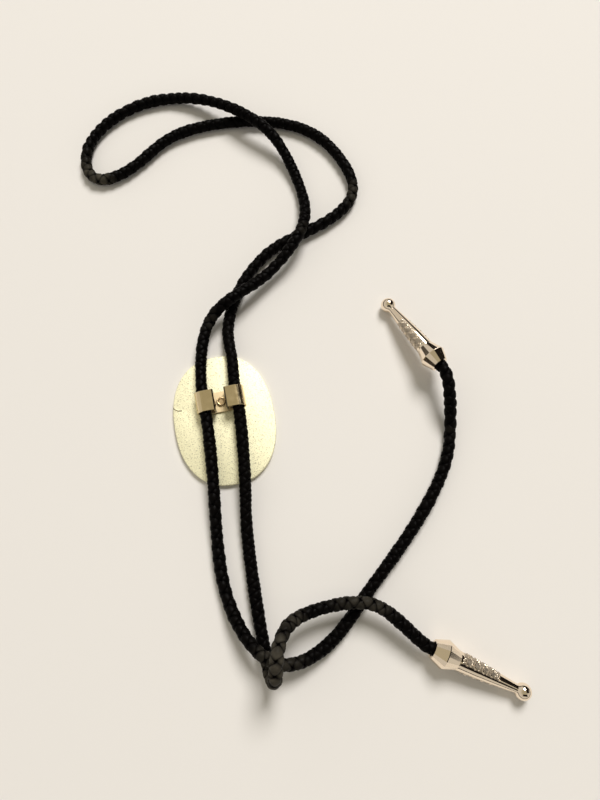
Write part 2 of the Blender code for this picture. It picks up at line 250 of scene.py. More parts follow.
# The room that the metal mirrors, as (sine of the height above the horizon, colour)
ROOM_BANDS = (
    (0.0, (0.03, 0.025, 0.02)),
    (0.12, (0.06, 0.05, 0.04)),
    (0.20, (0.78, 0.74, 0.68)),
    (0.70, (0.72, 0.68, 0.60)),
    (0.86, (0.56, 0.51, 0.38)),
    (1.0, (0.48, 0.44, 0.32)),
)
# Dark figures, as (an axis, the reach along it, the axis aside, the reach aside)
ROOM_FIGURES = (
    (PICTURE_UP, (-0.76, -0.40), PICTURE_RIGHT, (-0.34, 0.56)),
    (TOWARDS_KEY, (0.90, 1.01), ACROSS_KEY, (-0.50, 0.20)),
    (PICTURE_RIGHT, (0.45, 0.92), PICTURE_UP, (-0.15, 0.85)),
)
FIGURE_COLOUR = (0.015, 0.012, 0.010)


class CordSettings(PropertyGroup):
    diameter: FloatProperty(
        name="Diameter", description="Across the whole braid", default=0.0048, unit="LENGTH"
    )
    pitch: FloatProperty(
        name="Pitch",
        description="Length of cord in which a lace goes once round",
        default=0.0083,
        unit="LENGTH",
    )
    lace_thickness: FloatProperty(
        name="Lace thickness", description="Of one flat lace", default=0.0012, unit="LENGTH"
    )
    lace_half_angle: FloatProperty(
        name="Lace half angle",
        description="Half the turn round the cord that one lace covers",
        default=math.radians(82),
        subtype="ANGLE",
    )
    lace_rise: FloatProperty(
        name="Lace rise",
        description="How far a lace rises and dips as it goes over and under",
        default=0.00036,
        unit="LENGTH",
    )
    proud: FloatProperty(
        name="Proud",
        description="How far the laces stand over the cord's mean width",
        default=0.00022,
        unit="LENGTH",
    )
    colour: FloatVectorProperty(
        name="Leather", description="Dyed leather", default=(0.0014, 0.0010, 0.0010), subtype="COLOR"
    )
    # Pale grey of worn leather with painted sheen, laid on raised laces where the cord is bent
    wear_and_sheen_colour: FloatVectorProperty(
        name="Worn leather", description="Where it is bent", default=(0.075, 0.067, 0.052), subtype="COLOR"
    )


class TipSettings(PropertyGroup):
    collar_diameter: FloatProperty(
        name="Collar", description="Across the collar's ring", default=0.0106, unit="LENGTH"
    )
    ball_diameter: FloatProperty(
        name="Ball", description="Across the end ball", default=0.0061, unit="LENGTH"
    )
    vine_height: FloatProperty(
        name="Vine height", description="Of the cast relief", default=0.00040, unit="LENGTH"
    )
    colour: FloatVectorProperty(
        name="Rose gold", description="Plating", default=(0.93, 0.80, 0.64), subtype="COLOR"
    )


class SlideSettings(PropertyGroup):
    front_round: FloatProperty(
        name="Front", description="Round of the plate's front rim", default=0.0006, unit="LENGTH"
    )
    rim_round: FloatProperty(
        name="Rim", description="Round of the plate's back rim", default=0.0003, unit="LENGTH"
    )
    sheet_round: FloatProperty(
        name="Sheet edge", description="Round of the clip's edges", default=0.00012, unit="LENGTH"
    )
    plate_colour: FloatVectorProperty(
        name="Plate", description="Grained gold plating", default=(0.97, 0.94, 0.70), subtype="COLOR"
    )
    clip_colour: FloatVectorProperty(
        name="Clip", description="Bright gold plating", default=(0.80, 0.66, 0.42), subtype="COLOR"
    )


class StageSettings(PropertyGroup):
    floor_size: FloatProperty(
        name="Floor", description="Side of the floor", default=4.0, unit="LENGTH"
    )
    floor_colour: FloatVectorProperty(
        name="Floor colour", description="Pale cloth", default=(0.81, 0.79, 0.77), subtype="COLOR"
    )
    key_power: FloatProperty(
        name="Key light", description="Power of the main light", default=330.0, unit="POWER"
    )
    key_size: FloatProperty(
        name="Key size", description="Across the main light's disk", default=2.6, unit="LENGTH"
    )
    fill_strength: FloatProperty(
        name="Room light", description="Strength of the light from all round", default=0.80
    )


def mesh_object(name, mesh, material):
    mesh.materials.append(material)
    obj = bpy.data.objects.new(name, mesh)
    bpy.context.scene.collection.objects.link(obj)
    return obj


def mesh_from(name, bm):
    """The bmesh as a mesh, its faces out and shaded smooth up to the sharp angle."""
    bmesh.ops.remove_doubles(bm, verts=bm.verts, dist=SAME_POINT)
    bmesh.ops.recalc_face_normals(bm, faces=bm.faces)
    mesh = bpy.data.meshes.new(name)
    bm.to_mesh(mesh)
    bm.free()
    mesh.shade_smooth()
    mesh.set_sharp_from_angle(angle=SHARP_ANGLE)
    return mesh


def dress(obj, slot, *nodes):
    """Makes the piece part of the object, in the place of its solids."""
    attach(obj, "root")
    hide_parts(*nodes)


def applied(obj):
    """Turns the object's modifiers into mesh."""
    graph = bpy.context.evaluated_depsgraph_get()
    mesh = bpy.data.meshes.new_from_object(
        obj.evaluated_get(graph), preserve_all_data_layers=True, depsgraph=graph
    )
    obj.modifiers.clear()
    obj.data = mesh


def turned(bm, profile, sides):
    """Spins a profile of (distance from the Z axis, height) points into a closed body."""
    verts = [bm.verts.new((radius, 0.0, height)) for radius, height in profile]
    edges = [bm.edges.new(pair) for pair in zip(verts, verts[1:])]
    bmesh.ops.spin(
        bm,
        geom=verts + edges,
        cent=(0.0, 0.0, 0.0),
        axis=(0.0, 0.0, 1.0),
        angle=math.tau,
        steps=sides,
        use_merge=True,
    )
    bmesh.ops.remove_doubles(bm, verts=bm.verts, dist=SAME_POINT)


def rounded(bm, edges, offset, steps):
    bmesh.ops.bevel(
        bm,
        geom=edges,
        offset=offset,
        segments=steps,
        profile=0.5,
        affect="EDGES",
        material=-1,
    )


def positions(mesh):
    """The mesh's points as an array."""
    flat = np.empty(len(mesh.vertices) * 3, np.float32)
    mesh.vertices.foreach_get("co", flat)
    return flat.reshape(-1, 3).astype(float)


def place(mesh, points):
    mesh.vertices.foreach_set("co", np.asarray(points, np.float32).ravel())
    mesh.update()


def keep_values(mesh, name, values):
    """Stores one number a point for the material to read."""
    attribute = mesh.attributes.new(name, "FLOAT", "POINT")
    attribute.data.foreach_set("value", np.asarray(values, np.float32))


# Materials


def node_group(name, inputs, outputs):
    """An empty shader group with its sockets; inputs are (name, kind, default)."""
    group = bpy.data.node_groups.new(name, "ShaderNodeTree")
    for label, kind, default in inputs:
        socket = group.interface.new_socket(label, in_out="INPUT", socket_type=kind)
        if default is not None:
            socket.default_value = default
    for label, kind in outputs:
        group.interface.new_socket(label, in_out="OUTPUT", socket_type=kind)
    return group, group.nodes.new("NodeGroupInput"), group.nodes.new("NodeGroupOutput")


def add_node(tree, kind, inputs=(), **settings):
    """A node with its settings made and its inputs set to values or linked to sockets."""
    node = tree.nodes.new(kind)
    for name, value in settings.items():
        setattr(node, name, value)
    for name, value in dict(inputs).items():
        socket = node.inputs[name]
        if isinstance(value, bpy.types.NodeSocket):
            tree.links.new(value, socket)
        else:
            socket.default_value = value
    return node


def remapped(tree, value, before=(0.0, 1.0), after=(0.0, 1.0)):
    """The value carried from one range over to another."""
    ends = {"From Min": before[0], "From Max": before[1], "To Min": after[0], "To Max": after[1]}
    return add_node(tree, "ShaderNodeMapRange", {"Value": value, **ends}).outputs["Result"]


def mixed(tree, share, first, second):
    """The first colour where the share is 0 and the second where it is 1."""
    inputs = {"Factor": share, "A": first, "B": second}
    return add_node(tree, "ShaderNodeMix", inputs, data_type="RGBA").outputs["Result"]


def product(tree, first, second, clamp=False):
    inputs = {0: first, 1: second}
    node = add_node(tree, "ShaderNodeMath", inputs, operation="MULTIPLY", use_clamp=clamp)
    return node.outputs[0]


def stored(tree, name):
    """The number a point that keep_values stored under the name."""
    return add_node(tree, "ShaderNodeAttribute", attribute_name=name).outputs["Fac"]


def shaded(colour, share=1.0):
    """The colour, darker by the share, with its alpha."""
    return (*(share * channel for channel in colour), 1.0)


def speckle_group():
    """Fine grain for cast metal: a height and a mask of sparse darker specks."""
    group, given, out = node_group(
        "speckle",
        (("Vector", "NodeSocketVector", None), ("Scale", "NodeSocketFloat", 2500.0)),
        (("Height", "NodeSocketFloat"), ("Specks", "NodeSocketFloat")),
    )
    fine = add_node(
        group,
        "ShaderNodeTexNoise",
        {"Vector": given.outputs["Vector"], "Scale": given.outputs["Scale"], "Detail": 3.0},
    )
    broad_scale = product(group, given.outputs["Scale"], 0.22)
    broad = add_node(
        group,
        "ShaderNodeTexNoise",
        {"Vector": given.outputs["Vector"], "Scale": broad_scale, "Detail": 2.0},
    )
    specks = remapped(group, fine.outputs["Fac"], before=(0.53, 0.70))
    height = add_node(
        group, "ShaderNodeMath", {0: fine.outputs["Fac"], 1: broad.outputs["Fac"]}, operation="ADD"
    )
    group.links.new(height.outputs[0], out.inputs["Height"])
    group.links.new(specks, out.inputs["Specks"])
    return group


def shared_speckle():
    """The speckle group, made when the first metal asks for it."""
    return bpy.data.node_groups.get("speckle") or speckle_group()


def material_with(name, **fixed):
    """A Principled material and its tree; fixed are constants on the shader's own sockets."""
    material = bpy.data.materials.new(name)
    material.use_nodes = True
    tree = material.node_tree
    shader = tree.nodes["Principled BSDF"]
    for label, value in fixed.items():
        shader.inputs[label.replace("_", " ")].default_value = value
    return material, tree, shader


def object_place(tree):
    return add_node(tree, "ShaderNodeTexCoord").outputs["Object"]


def bump(tree, height, strength, distance):
    return add_node(
        tree,
        "ShaderNodeBump",
        {"Height": height, "Strength": strength, "Distance": distance},
    ).outputs["Normal"]


def feed(tree, shader, colour, rough, normal):
    """Links the three sockets into the shader."""
    for name, socket in (("Base Color", colour), ("Roughness", rough), ("Normal", normal)):
        tree.links.new(socket, shader.inputs[name])


def leather(settings):
    """Dyed leather lace: fine grain, paler on raised laces where the cord is bent, as wear and painted
    sheen.
    """
    material, tree, shader = material_with("black_leather", Metallic=0.0, Specular_IOR_Level=0.035)
    where = object_place(tree)
    grain = add_node(
        tree, "ShaderNodeTexNoise", {"Vector": where, "Scale": 2200.0, "Detail": 4.0, "Roughness": 0.6}
    )
    patches = add_node(tree, "ShaderNodeTexNoise", {"Vector": where, "Scale": 260.0, "Detail": 2.0})
    # Raised laces where the cord is bent and on the arch: worn grey with painted sheen
    on_top = remapped(tree, stored(tree, "raised"), before=(0.55, 0.85))
    rubbed_and_sheen = product(tree, on_top, patches.outputs["Fac"])
    bent_or_not = remapped(tree, stored(tree, "bent"), after=(0.02, 1.3))
    wear_and_sheen = product(tree, rubbed_and_sheen, bent_or_not, clamp=True)
    colour = mixed(tree, wear_and_sheen, shaded(settings.colour), shaded(settings.wear_and_sheen_colour))
    rough = remapped(tree, patches.outputs["Fac"], before=(0.3, 0.7), after=(0.33, 0.48))
    feed(tree, shader, colour, rough, bump(tree, grain.outputs["Fac"], 0.5, 0.00012))
    return material


def grained_gold(settings, speckle):
    """The plate's cast back: matt pale gold with sparse darker grain and painted shade in the scratch."""
    material, tree, shader = material_with("grained_gold", Metallic=1.0)
    where = object_place(tree)
    grain = add_node(tree, "ShaderNodeGroup", node_tree=speckle)
    tree.links.new(where, grain.inputs["Vector"])
    grain.inputs["Scale"].default_value = 2100.0
    plate = settings.plate_colour
    clean = mixed(tree, grain.outputs["Specks"], shaded(plate), shaded(plate, 0.60))
    # Painted shade in the scratch's groove
    colour = mixed(tree, stored(tree, "scratch_shade"), clean, shaded(SCRATCH_SHADE_COLOUR))
    rough = remapped(tree, grain.outputs["Specks"], after=(0.62, 0.76))
    feed(tree, shader, colour, rough, bump(tree, grain.outputs["Height"], 0.6, 0.0001))
    return material


def brushed_gold(settings):
    """Bright plated sheet with fine rolling marks along Y, matt where told and with painted shade where
    told.
    """
    material, tree, shader = material_with("bright_gold", Metallic=1.0)
    where = object_place(tree)
    drawn = add_node(tree, "ShaderNodeMapping", {"Vector": where, "Scale": (1.0, 0.03, 1.0)})
    marks = add_node(
        tree, "ShaderNodeTexNoise", {"Vector": drawn.outputs["Vector"], "Scale": 4200.0, "Detail": 2.0}
    )
    smudges = add_node(tree, "ShaderNodeTexNoise", {"Vector": where, "Scale": 420.0, "Detail": 3.0})
    polished = remapped(tree, smudges.outputs["Fac"], before=(0.35, 0.7), after=(0.10, 0.20))
    rough = add_node(
        tree,
        "ShaderNodeMix",
        {"Factor": stored(tree, "matt"), "A": polished, "B": 0.5},
        data_type="FLOAT",
    ).outputs["Result"]
    clip = settings.clip_colour
    # Painted shade in the curls' inner folds and round the eyelet's rim
    colour = mixed(tree, stored(tree, "painted_shade"), shaded(clip), shaded(clip, 0.22))
    feed(tree, shader, colour, rough, bump(tree, marks.outputs["Fac"], 0.25, 0.00004))
    return material


def rose_gold(settings, speckle):
    """Polished cast plating: the ground of the vine is dull and darker."""
    material, tree, shader = material_with("rose_gold", Metallic=1.0)
    where = object_place(tree)
    recess = stored(tree, "recess")
    grain = add_node(tree, "ShaderNodeGroup", node_tree=speckle)
    tree.links.new(where, grain.inputs["Vector"])
    grain.inputs["Scale"].default_value = 2600.0
    colour = mixed(tree, recess, shaded(settings.colour), shaded(settings.colour, 0.50))
    rough = remapped(tree, recess, after=(0.09, 0.38))
    in_ground = product(tree, grain.outputs["Height"], recess)
    feed(tree, shader, colour, rough, bump(tree, in_ground, 0.5, 0.00008))
    return material


# The cord


def smooth_line(points, step):
    """A smooth curve through the points (a natural cubic spline), in even short steps."""
    points = np.array(points)
    count = len(points)
    knots = np.sqrt(np.linalg.norm(np.diff(points, axis=0), axis=1))
    system = np.eye(count)
    wanted = np.zeros((count, 3))
    slopes = np.diff(points, axis=0) / knots[:, None]
    for i in range(1, count - 1):
        system[i, i - 1 : i + 2] = knots[i - 1], 2 * (knots[i - 1] + knots[i]), knots[i]
        wanted[i] = 6 * (slopes[i] - slopes[i - 1])
    bends = np.linalg.solve(system, wanted)
    pieces = []
    for i, knot in enumerate(knots):
        share = np.linspace(0, 1, LINE_SAMPLES)[:, None]
        ahead, behind = share * knot, (1 - share) * knot
        straight = points[i] * (1 - share) + points[i + 1] * share
        bow_start = bends[i] * (behind**3 / knot - knot * behind) / 6
        bow_end = bends[i + 1] * (ahead**3 / knot - knot * ahead) / 6
        pieces.append(straight + bow_start + bow_end)
    line = np.vstack(pieces)
    along = np.concatenate([[0], np.cumsum(np.linalg.norm(np.diff(line, axis=0), axis=1))])
    at = np.linspace(0, along[-1], round(along[-1] / step) + 1)
    return np.stack([np.interp(at, along, line[:, k]) for k in range(3)], axis=1)


def resting_drop(collar, ball):
    """The slope of a tip that lies on its collar and on its ball, from their radii."""
    between = BALL_AT - COLLAR_AT
    return math.acos(ball / math.hypot(collar, between)) - math.atan2(between, collar)


def tip_frame(name):
    """A tip's place: its mouth is the origin, and its ball lies on the surface along +Z."""
    settings = bpy.context.scene.bolo_tip
    mouth, height, heading, roll = TIP_PLACES[name]
    ball = settings.ball_diameter / 2
    if height is None:
        drop = resting_drop(settings.collar_diameter / 2, ball)
        height = ball + FLOOR_GAP + BALL_AT * math.sin(drop)
    drop = math.asin((height - ball - FLOOR_GAP) / BALL_AT)
    tilt = Matrix.Rotation(math.pi / 2 + drop, 4, "Y")
    turn = Matrix.Rotation(heading, 4, "Z")
    spin = Matrix.Rotation(roll, 4, "Z")
    return Matrix.Translation((*mouth, height)) @ turn @ tilt @ spin


def cord_line(radius):
    """The cord's own line, from its end in the upper tip to its end in the lower tip."""
    low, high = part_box("slide_clip")
    side_x = high.x - SHEET - SEAT_GAP - radius
    height = low.z + SHEET + SEAT_GAP + radius
    middle_y, reach = (low.y + high.y) / 2, (high.y - low.y) / 2 + radius / 2

    def in_curl(side, end):
        return (side * side_x, middle_y + end * reach, height)

    def in_socket(name):
        end = SOCKET_DEPTH - SEAT_GAP
        places = (end, end / 2, 0.0, -STRAIGHT_OUT)
        return [tuple(tip_frame(name) @ Vector((0.0, 0.0, at))) for at in places]

    route = in_socket("tip_upper") + UPPER_TAIL
    route += [in_curl(-1, -1), in_curl(-1, 1)] + NECK_LOOP
    route += [in_curl(1, 1), in_curl(1, -1)] + LOWER_TAIL + in_socket("tip_lower")[::-1]
    line = smooth_line(route, LINE_STEP)
    line[:, 2] = np.maximum(line[:, 2], radius)
    return line


def drawn_ring(bm, sides, length, steps):
    """A unit circle drawn out along +Z in even steps; gives back its points."""
    ring = bmesh.ops.create_circle(bm, segments=sides, radius=1.0)["verts"]
    points = list(ring)
    for _ in range(steps):
        members = set(ring)
        edges = {e for v in ring for e in v.link_edges if e.other_vert(v) in members}
        grown = bmesh.ops.extrude_edge_only(bm, edges=list(edges))["geom"]
        ring = [item for item in grown if isinstance(item, bmesh.types.BMVert)]
        bmesh.ops.translate(bm, verts=ring, vec=(0.0, 0.0, length / steps))
        points += ring
    return points


def softened(value, power):
    return math.copysign(abs(value) ** power, value)


def braid_unit(settings, pitch):
    """One pitch of the straight braid: two laces turn right and two turn left, each over
    and under the others in turn, round a thin core."""
    bm = bmesh.new()
    half = settings.lace_thickness / 2
    outer = settings.diameter / 2 + settings.proud
    middle = outer - half - settings.lace_rise
    laces = ((1, 0.0), (1, math.pi), (-1, 0.0), (-1, math.pi))
    for (hand, start), share in zip(laces, LACE_LIFTS):
        for vert in drawn_ring(bm, LACE_SIDES, pitch, LACE_STEPS):
            around = math.atan2(vert.co.y, vert.co.x)
            around += LACE_CROWDING * math.cos(around)
            across = softened(math.cos(around), LACE_SQUARENESS)
            through = softened(math.sin(around), LACE_SQUARENESS)
            turn = hand * math.tau * vert.co.z / pitch + start
            angle = turn + across * settings.lace_half_angle
            over = hand * share * settings.lace_rise * softened(math.cos(turn + angle), LACE_FLATNESS)
            thin = 1 - LACE_EDGE_SHARE * across**2
            radius = middle + over + half * through * thin
            vert.co.x = radius * math.cos(angle)
            vert.co.y = radius * math.sin(angle)
    for vert in drawn_ring(bm, CORE_SIDES, pitch, CORE_STEPS):
        vert.co.x *= outer * CORE_SHARE
        vert.co.y *= outer * CORE_SHARE
    return bm


def carried_along(points, line):
    """Carries the points of a straight cord on +Z over to the line, with the braid's turns."""
    lengths = np.linalg.norm(np.diff(line, axis=0), axis=1)
    along = np.concatenate([[0], np.cumsum(lengths)])
    ahead = np.gradient(line, axis=0)
    ahead /= np.linalg.norm(ahead, axis=1)[:, None]
    side = np.zeros_like(line)
    side[0] = np.cross((0.0, 0.0, 1.0), ahead[0])
    for i in range(1, len(line)):
        side[i] = side[i - 1] - ahead[i] * (side[i - 1] @ ahead[i])
        side[i] /= np.linalg.norm(side[i])
    above = np.cross(ahead, side)
    start = points[:, 2]
    in_open = np.clip(np.minimum(start, along[-1] - start) / WAVES_GROW, 0, 1)
    size = 1 + in_open * sum(change * np.sin(math.tau * start / wave) for wave, change in WIDTH_WAVES)
    at = start + in_open * sum(change * np.sin(math.tau * start / wave) for wave, change in SHIFT_WAVES)

    def on_line(values):
        return np.stack([np.interp(at, along, values[:, k]) for k in range(3)], axis=1)

    shares, degrees = np.array(BRAID_TURNS, float).T
    turn = np.radians(np.interp(at / along[-1], shares, degrees))
    x = size * (points[:, 0] * np.cos(turn) - points[:, 1] * np.sin(turn))
    y = size * (points[:, 0] * np.sin(turn) + points[:, 1] * np.cos(turn))
    carried = on_line(line) + on_line(side) * x[:, None] + on_line(above) * y[:, None]
    carried[:, 2] = np.maximum(carried[:, 2], 0.0)
    return carried


def wear_and_sheen_share(at, line):
    """How bent the cord is at each length along it, from 0, nearly straight, to 1, none near the ends and
    more on the arch: the share of worn grey with painted sheen.
    """
    ahead = np.gradient(line, axis=0)
    steps = np.linalg.norm(ahead, axis=1)
    ahead /= steps[:, None]
    bend = np.linalg.norm(np.gradient(ahead, axis=0), axis=1) / steps
    bend = np.convolve(bend, np.ones(BEND_SAMPLES) / BEND_SAMPLES, mode="same")
    share = np.clip((bend - 1 / DARK_BEND) / (1 / PALE_BEND - 1 / DARK_BEND), 0, 1)
    along = np.arange(len(line)) * LINE_STEP
    share *= np.clip(np.minimum(along, along[-1] - along) / NEW_END - 1, 0, 1)
    centre, reach, wear_and_sheen = ARCH_WEAR_AND_SHEEN
    share = np.maximum(share, wear_and_sheen * np.exp(-(((along[-1] - along - centre) / reach) ** 2)))
    return np.interp(at, along, share)


class BOLO_OT_braid_cord(Operator):
    """Braids four laces round a core and lays the braid along the cord's route"""

    bl_idname = "bolo.braid_cord"
    bl_label = "Braid the Cord"

    def execute(self, context):
        settings = context.scene.bolo_cord
        line = cord_line(settings.diameter / 2)
        length = float(np.linalg.norm(np.diff(line, axis=0), axis=1).sum())
        count = round(length / settings.pitch)
        pitch = length / count
        bm = braid_unit(settings, pitch)
        mesh = bpy.data.meshes.new("braided_cord")
        bm.to_mesh(mesh)
        bm.free()
        obj = mesh_object("braided_cord", mesh, leather(settings))
        array = obj.modifiers.new("pitches", "ARRAY")
        array.count = count
        array.use_relative_offset = False
        array.use_constant_offset = True
        array.constant_offset_displace = (0.0, 0.0, pitch)
        array.use_merge_vertices = True
        array.merge_threshold = SAME_POINT * 10
        applied(obj)
        points = positions(obj.data)
        radius = np.hypot(points[:, 0], points[:, 1])
        outer = settings.diameter / 2 + settings.proud
        low = outer - settings.lace_thickness
        keep_values(obj.data, "raised", np.clip((radius - low) / (outer - low), 0, 1))
        # How far the raised laces are painted worn grey with sheen
        keep_values(obj.data, "bent", wear_and_sheen_share(points[:, 2], line))
        place(obj.data, carried_along(points, line))
        bm = bmesh.new()
        bm.from_mesh(obj.data)
        bmesh.ops.holes_fill(bm, edges=[e for e in bm.edges if e.is_boundary], sides=0)
        bmesh.ops.recalc_face_normals(bm, faces=bm.faces)
        bm.to_mesh(obj.data)
        bm.free()
        obj.data.shade_smooth()
        dress(obj, "black_leather", "cord")
        return {"FINISHED"}


# The tips


def tip_profile(settings, cord_radius):
    """The tip's outline as (radius, distance from the mouth), from the socket's floor out."""
    socket = cord_radius + SEAT_GAP
    collar = settings.collar_diameter / 2
    ball = settings.ball_diameter / 2
    distances, diameters = np.array(BODY_DIAMETERS).T
    profile = [
        (0.0, SOCKET_DEPTH),
        (socket, SOCKET_DEPTH),
        (socket, 0.0),
        (socket + MOUTH_WALL, 0.0),
        (collar, COLLAR_AT),
        (collar, COLLAR_AT + COLLAR_LAND),
        (diameters[0] / 2, COLLAR_END),
    ]
    neck = diameters[-1] / 2
    ball_start = BALL_AT - math.sqrt(ball**2 - neck**2)
    steps = round((ball_start - COLLAR_END) / BODY_STEP)
    for at in np.linspace(COLLAR_END, ball_start, steps + 1)[1:]:
        profile.append((float(np.interp(at, distances, diameters)) / 2, float(at)))
    for angle in np.linspace(math.asin(neck / ball), math.pi, BALL_STEPS + 1)[1:]:
        profile.append((abs(ball * math.sin(angle)), BALL_AT - ball * math.cos(angle)))
    profile[-1] = (0.0, BALL_AT + ball)
    return profile


def facet_share(angle):
    """How far a flat facet lies inside its round, as a share of the radius."""
    half = math.pi / COLLAR_FACETS
    return math.cos(half) / np.cos(angle % (2 * half) - half)


def oval(along, across, turn, length, width):
    """1 at the middle of a turned oval, 0 at its rim and below 0 outside, and the distance
    from its long axis."""
    far = along * np.cos(turn) + across * np.sin(turn)
    wide = across * np.cos(turn) - along * np.sin(turn)
    return 1 - (far / length) ** 2 - (wide / width) ** 2, wide


def vine_relief(angle, distance, body):
    """Height of the vine from 0 to 1, and a mask of the ground round it, on two panels."""
    face = (angle + np.pi / 2) % np.pi - np.pi / 2
    slim = body / body.max()
    across = face * VINE_RADIUS
    along = distance - VINE_START
    length = VINE_END - VINE_START
    end_in = np.clip(np.minimum(along, length - along) / VINE_END_FADE, 0, 1)
    side_in = np.clip((VINE_HALF_ANGLE - np.abs(face)) * VINE_RADIUS / VINE_SIDE_FADE, 0, 1)
    panel = end_in * side_in
    stem_at = STEM_SWING * np.sin(math.tau * along / STEM_WAVE)
    stem = np.clip(STEM_CROWN - np.abs(across - stem_at) / STEM_HALF_WIDTH, 0, 1)
    height = stem * STEM_HEIGHT
    for k in range(int(2 * length / STEM_WAVE) + 1):
        side = 1 if k % 2 else -1
        centre = (k + LEAF_LEAD) * STEM_WAVE / 2
        for ahead, aside, turn, long, wide, steepness, top, vein in VINE_OVALS:
            at = along - centre - ahead
            rise, off_axis = oval(at, across + side * aside, side * turn, long, wide)
            rise = np.clip(rise * steepness, 0, 1) * top
            rise *= 1 - vein * np.exp(-((off_axis / VEIN_WIDTH) ** 2))
            height = np.maximum(height, rise)
    return height * panel * slim, panel * (1 - height)


class BOLO_OT_cast_tips(Operator):
    """Turns both metal tips, facets their collars and raises the vine on their bodies"""

    bl_idname = "bolo.cast_tips"
    bl_label = "Cast the Tips"

    def execute(self, context):
        settings = context.scene.bolo_tip
        cord_radius = context.scene.bolo_cord.diameter / 2
        material = rose_gold(settings, shared_speckle())
        for name, node in (("upper_tip", "tip_upper"), ("lower_tip", "tip_lower")):
            bm = bmesh.new()
            turned(bm, tip_profile(settings, cord_radius), TIP_SIDES)
            mesh = mesh_from(name, bm)
            points = positions(mesh)
            radius = np.hypot(points[:, 0], points[:, 1])
            angle = np.arctan2(points[:, 1], points[:, 0])
            distance = points[:, 2]
            outside = radius > cord_radius + SEAT_GAP + SAME_POINT
            on_collar = outside & (distance < COLLAR_END + SAME_POINT)
            share = np.where(on_collar, facet_share(angle), 1.0)
            on_body = (distance > VINE_START) & (distance < VINE_END)
            vine_angle = angle - VINE_TURNS[node]
            body = np.where(on_body, radius, VINE_RADIUS)
            height, ground = vine_relief(vine_angle, distance, body)
            height, ground = height * on_body, ground * on_body
            share = share + settings.vine_height * height / np.maximum(radius, SAME_POINT)
            points[:, :2] *= share[:, None]
            at = tip_frame(node)
            place(mesh, points @ np.array(at.to_3x3()).T + np.array(at.translation))
            keep_values(mesh, "recess", ground)
            mesh.set_sharp_from_angle(angle=TIP_SHARP_ANGLE)
            obj = mesh_object(name, mesh, material)
            dress(obj, "rose_gold", node)
        return {"FINISHED"}


# The slide


def arc(centre_x, centre_z, radius, start, end, steps):
    """Points of an arc in the XZ plane, angles in degrees."""
    angles = np.radians(np.linspace(start, end, steps + 1))
    return [(centre_x + radius * math.cos(a), centre_z + radius * math.sin(a)) for a in angles]


def half_sheet_line(low, high):
    """The middle of the clip's sheet, from its centre round the right curl, as (x, z)."""
    base = low.z + SHEET / 2
    curl = (high.z - low.z - SHEET) / 2
    bend_x = high.x - SHEET / 2 - curl
    inner_x = CLIP_MIDDLE_GAP / 2 + SHEET / 2
    top = base + 2 * curl
    flat_start, flat_end = inner_x + CURL_INNER_BEND, bend_x
    line = [(0.0, base), (bend_x - FLAT_MARGIN, base)]
    line += arc(bend_x, base + curl, curl, -90, 90, CURL_STEPS)
    line += [(flat_end - FLAT_MARGIN, top), (flat_start + FLAT_MARGIN, top)]
    line += arc(flat_start, top - CURL_INNER_BEND, CURL_INNER_BEND, 90, 180, CURL_INNER_STEPS)
    line.append((inner_x, low.z + SHEET + CURL_SLIT))
    return line


def sheet_outline(line, thickness):
    """Both faces of a sheet whose middle follows the line, as one closed outline."""
    points = np.array(line)
    steps = np.diff(points, axis=0)
    steps /= np.linalg.norm(steps, axis=1)[:, None]
    before = np.vstack([steps[:1], steps])
    after = np.vstack([steps, steps[-1:]])
    along = before + after
    along /= np.linalg.norm(along, axis=1)[:, None]
    across = np.stack([-along[:, 1], along[:, 0]], axis=1)
    offset = across * thickness / 2
    return np.vstack([points + offset, (points - offset)[::-1]])


def cutting_body(name, bm):
    """A body to cut with, which has no material."""
    obj = bpy.data.objects.new(name, mesh_from(name, bm))
    bpy.context.scene.collection.objects.link(obj)
    return obj


def drill(name, radius, low, high, x, y):
    bm = bmesh.new()
    turned(bm, [(0.0, low), (radius, low), (radius, high), (0.0, high)], EYELET_SIDES)
    bmesh.ops.translate(bm, verts=bm.verts, vec=(x, y, 0.0))
    return cutting_body(name, bm)


def scratch_rod(name, height):
    """A thin rod along the scratch, half sunk in a surface at this height."""
    bm = bmesh.new()
    last = len(SCRATCH) - 1
    for vert in drawn_ring(bm, GROOVE_SIDES, last, last):
        x, y = SCRATCH[round(vert.co.z)]
        vert.co = (x, y + vert.co.x * SCRATCH_RADIUS, height + vert.co.y * SCRATCH_RADIUS)
    bmesh.ops.holes_fill(bm, edges=[e for e in bm.edges if e.is_boundary], sides=0)
    return cutting_body(name, bm)


def scratch_share(points, height):
    """1 for points at the bottom of the scratch, 0 for all others."""
    corners = np.array(SCRATCH).T
    x = np.linspace(corners[0, 0], corners[0, -1], GROOVE_SAMPLES)
    y = np.interp(x, *corners)
    away = np.hypot(points[:, :1] - x, points[:, 1:2] - y).min(axis=1)
    return (away < SCRATCH_RADIUS) & (points[:, 2] < height - SCRATCH_RADIUS / 4)


def cut(obj, tool):
    """Takes the tool's body out of the object and throws the tool away."""
    boolean = obj.modifiers.new("cut", "BOOLEAN")
    boolean.operation = "DIFFERENCE"
    boolean.object = tool
    applied(obj)
    bpy.data.objects.remove(tool)


